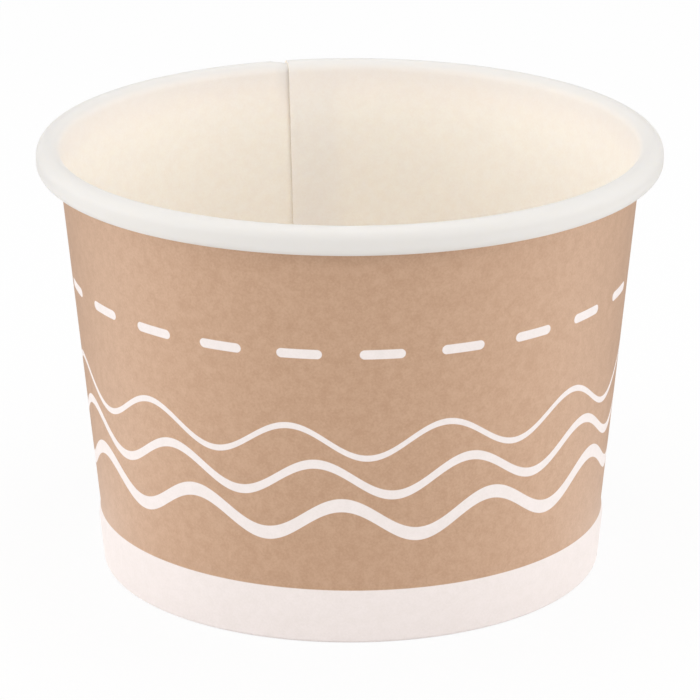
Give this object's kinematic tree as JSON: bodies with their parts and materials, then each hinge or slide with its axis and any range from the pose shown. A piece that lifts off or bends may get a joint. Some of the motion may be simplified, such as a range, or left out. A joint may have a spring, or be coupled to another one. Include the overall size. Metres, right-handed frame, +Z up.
{
  "type": "paper soup cup",
  "caption": "Round tapered paper soup cup with a rolled rim, a lapped side seam and a recessed base held in a folded foot.",
  "frame": {"origin": "on the cup's axis, in the plane that the foot stands on", "axes": "+Z up along the cup's axis; -Y is the front of the picture; the side seam runs up the back, about 15 degrees from +Y towards -X"},
  "size_m": [0.098, 0.098, 0.069],
  "materials": {
    "wall_board": "coated cup board, white inside and on the rolled rim; the outside is printed matt light brown from under the rim down to 9 mm above the foot, and left white below that",
    "base_board": "coated cup board, unprinted, smooth matt white"
  },
  "bodies": {
    "root": {"sidewall": "wall_board", "base_disc": "base_board"}
  },
  "joints": []
}
